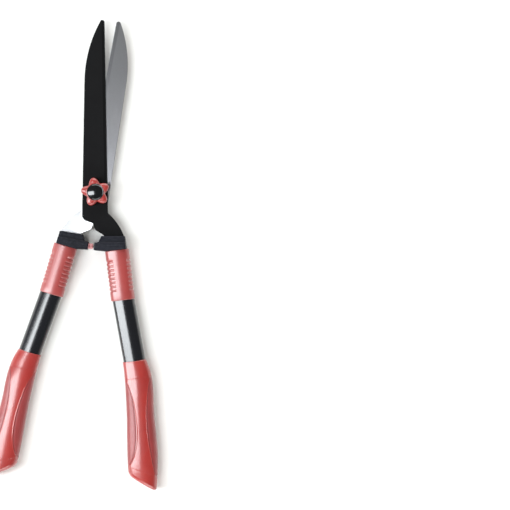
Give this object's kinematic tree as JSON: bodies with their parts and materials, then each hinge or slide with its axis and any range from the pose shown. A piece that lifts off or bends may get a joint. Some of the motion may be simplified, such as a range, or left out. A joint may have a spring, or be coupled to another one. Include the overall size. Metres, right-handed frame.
{
  "type": "hedge shears",
  "caption": "Long-handled hand shears with two crossed blades on a knob-adjusted pivot, oval tube handles and soft moulded grips.",
  "frame": {"origin": "on the pivot bolt's axis, at the plane where the two blades meet", "axes": "+Y along the front blade towards the tips, +Z along the pivot bolt towards the knob, +X to the right seen from the knob side"},
  "size_m": [0.249, 0.6831, 0.0355],
  "materials": {
    "black_steel": "matt black baked coating over steel",
    "bare_steel": "ground and polished blade steel",
    "plated_steel": "bright zinc plate",
    "tube_paint": "high gloss black enamel over steel tube",
    "black_plastic": "satin moulded",
    "cap_plastic": "glossy moulded",
    "red_plastic": "glossy moulded",
    "red_soft": "satin soft overmould",
    "buffer_rubber": "smooth",
    "nylon": "smooth"
  },
  "bodies": {
    "front_half": {"front_blade": "black_steel", "right_collar": "black_plastic", "right_tube": "tube_paint", "right_rivets": "plated_steel", "right_sleeve": "red_plastic", "right_grip": "red_plastic", "right_inner_pad": "red_soft", "right_outer_pad": "red_soft"},
    "rear_half": {"rear_blade": "bare_steel", "left_collar": "black_plastic", "left_tube": "tube_paint", "left_rivets": "plated_steel", "left_sleeve": "red_plastic", "left_grip": "red_plastic", "left_inner_pad": "red_soft", "left_outer_pad": "red_soft", "buffer": "buffer_rubber", "pivot_bolt": "plated_steel", "gap_washer": "nylon", "flat_washer": "plated_steel", "wave_washer": "plated_steel"},
    "knob": {"star_knob": "red_plastic", "knob_nut": "plated_steel", "knob_cap": "cap_plastic"}
  },
  "joints": [
    {"name": "pivot", "type": "hinge", "parent": "front_half", "child": "rear_half", "pos_m": [0, 0, 0], "axis": [0, 0, -1], "range_deg": [-4.6, 50]},
    {"name": "knob_turn", "type": "hinge", "parent": "rear_half", "child": "knob", "pos_m": [0, 0, 0], "axis": [0, 0, 1], "range_deg": [0, 540]}
  ]
}
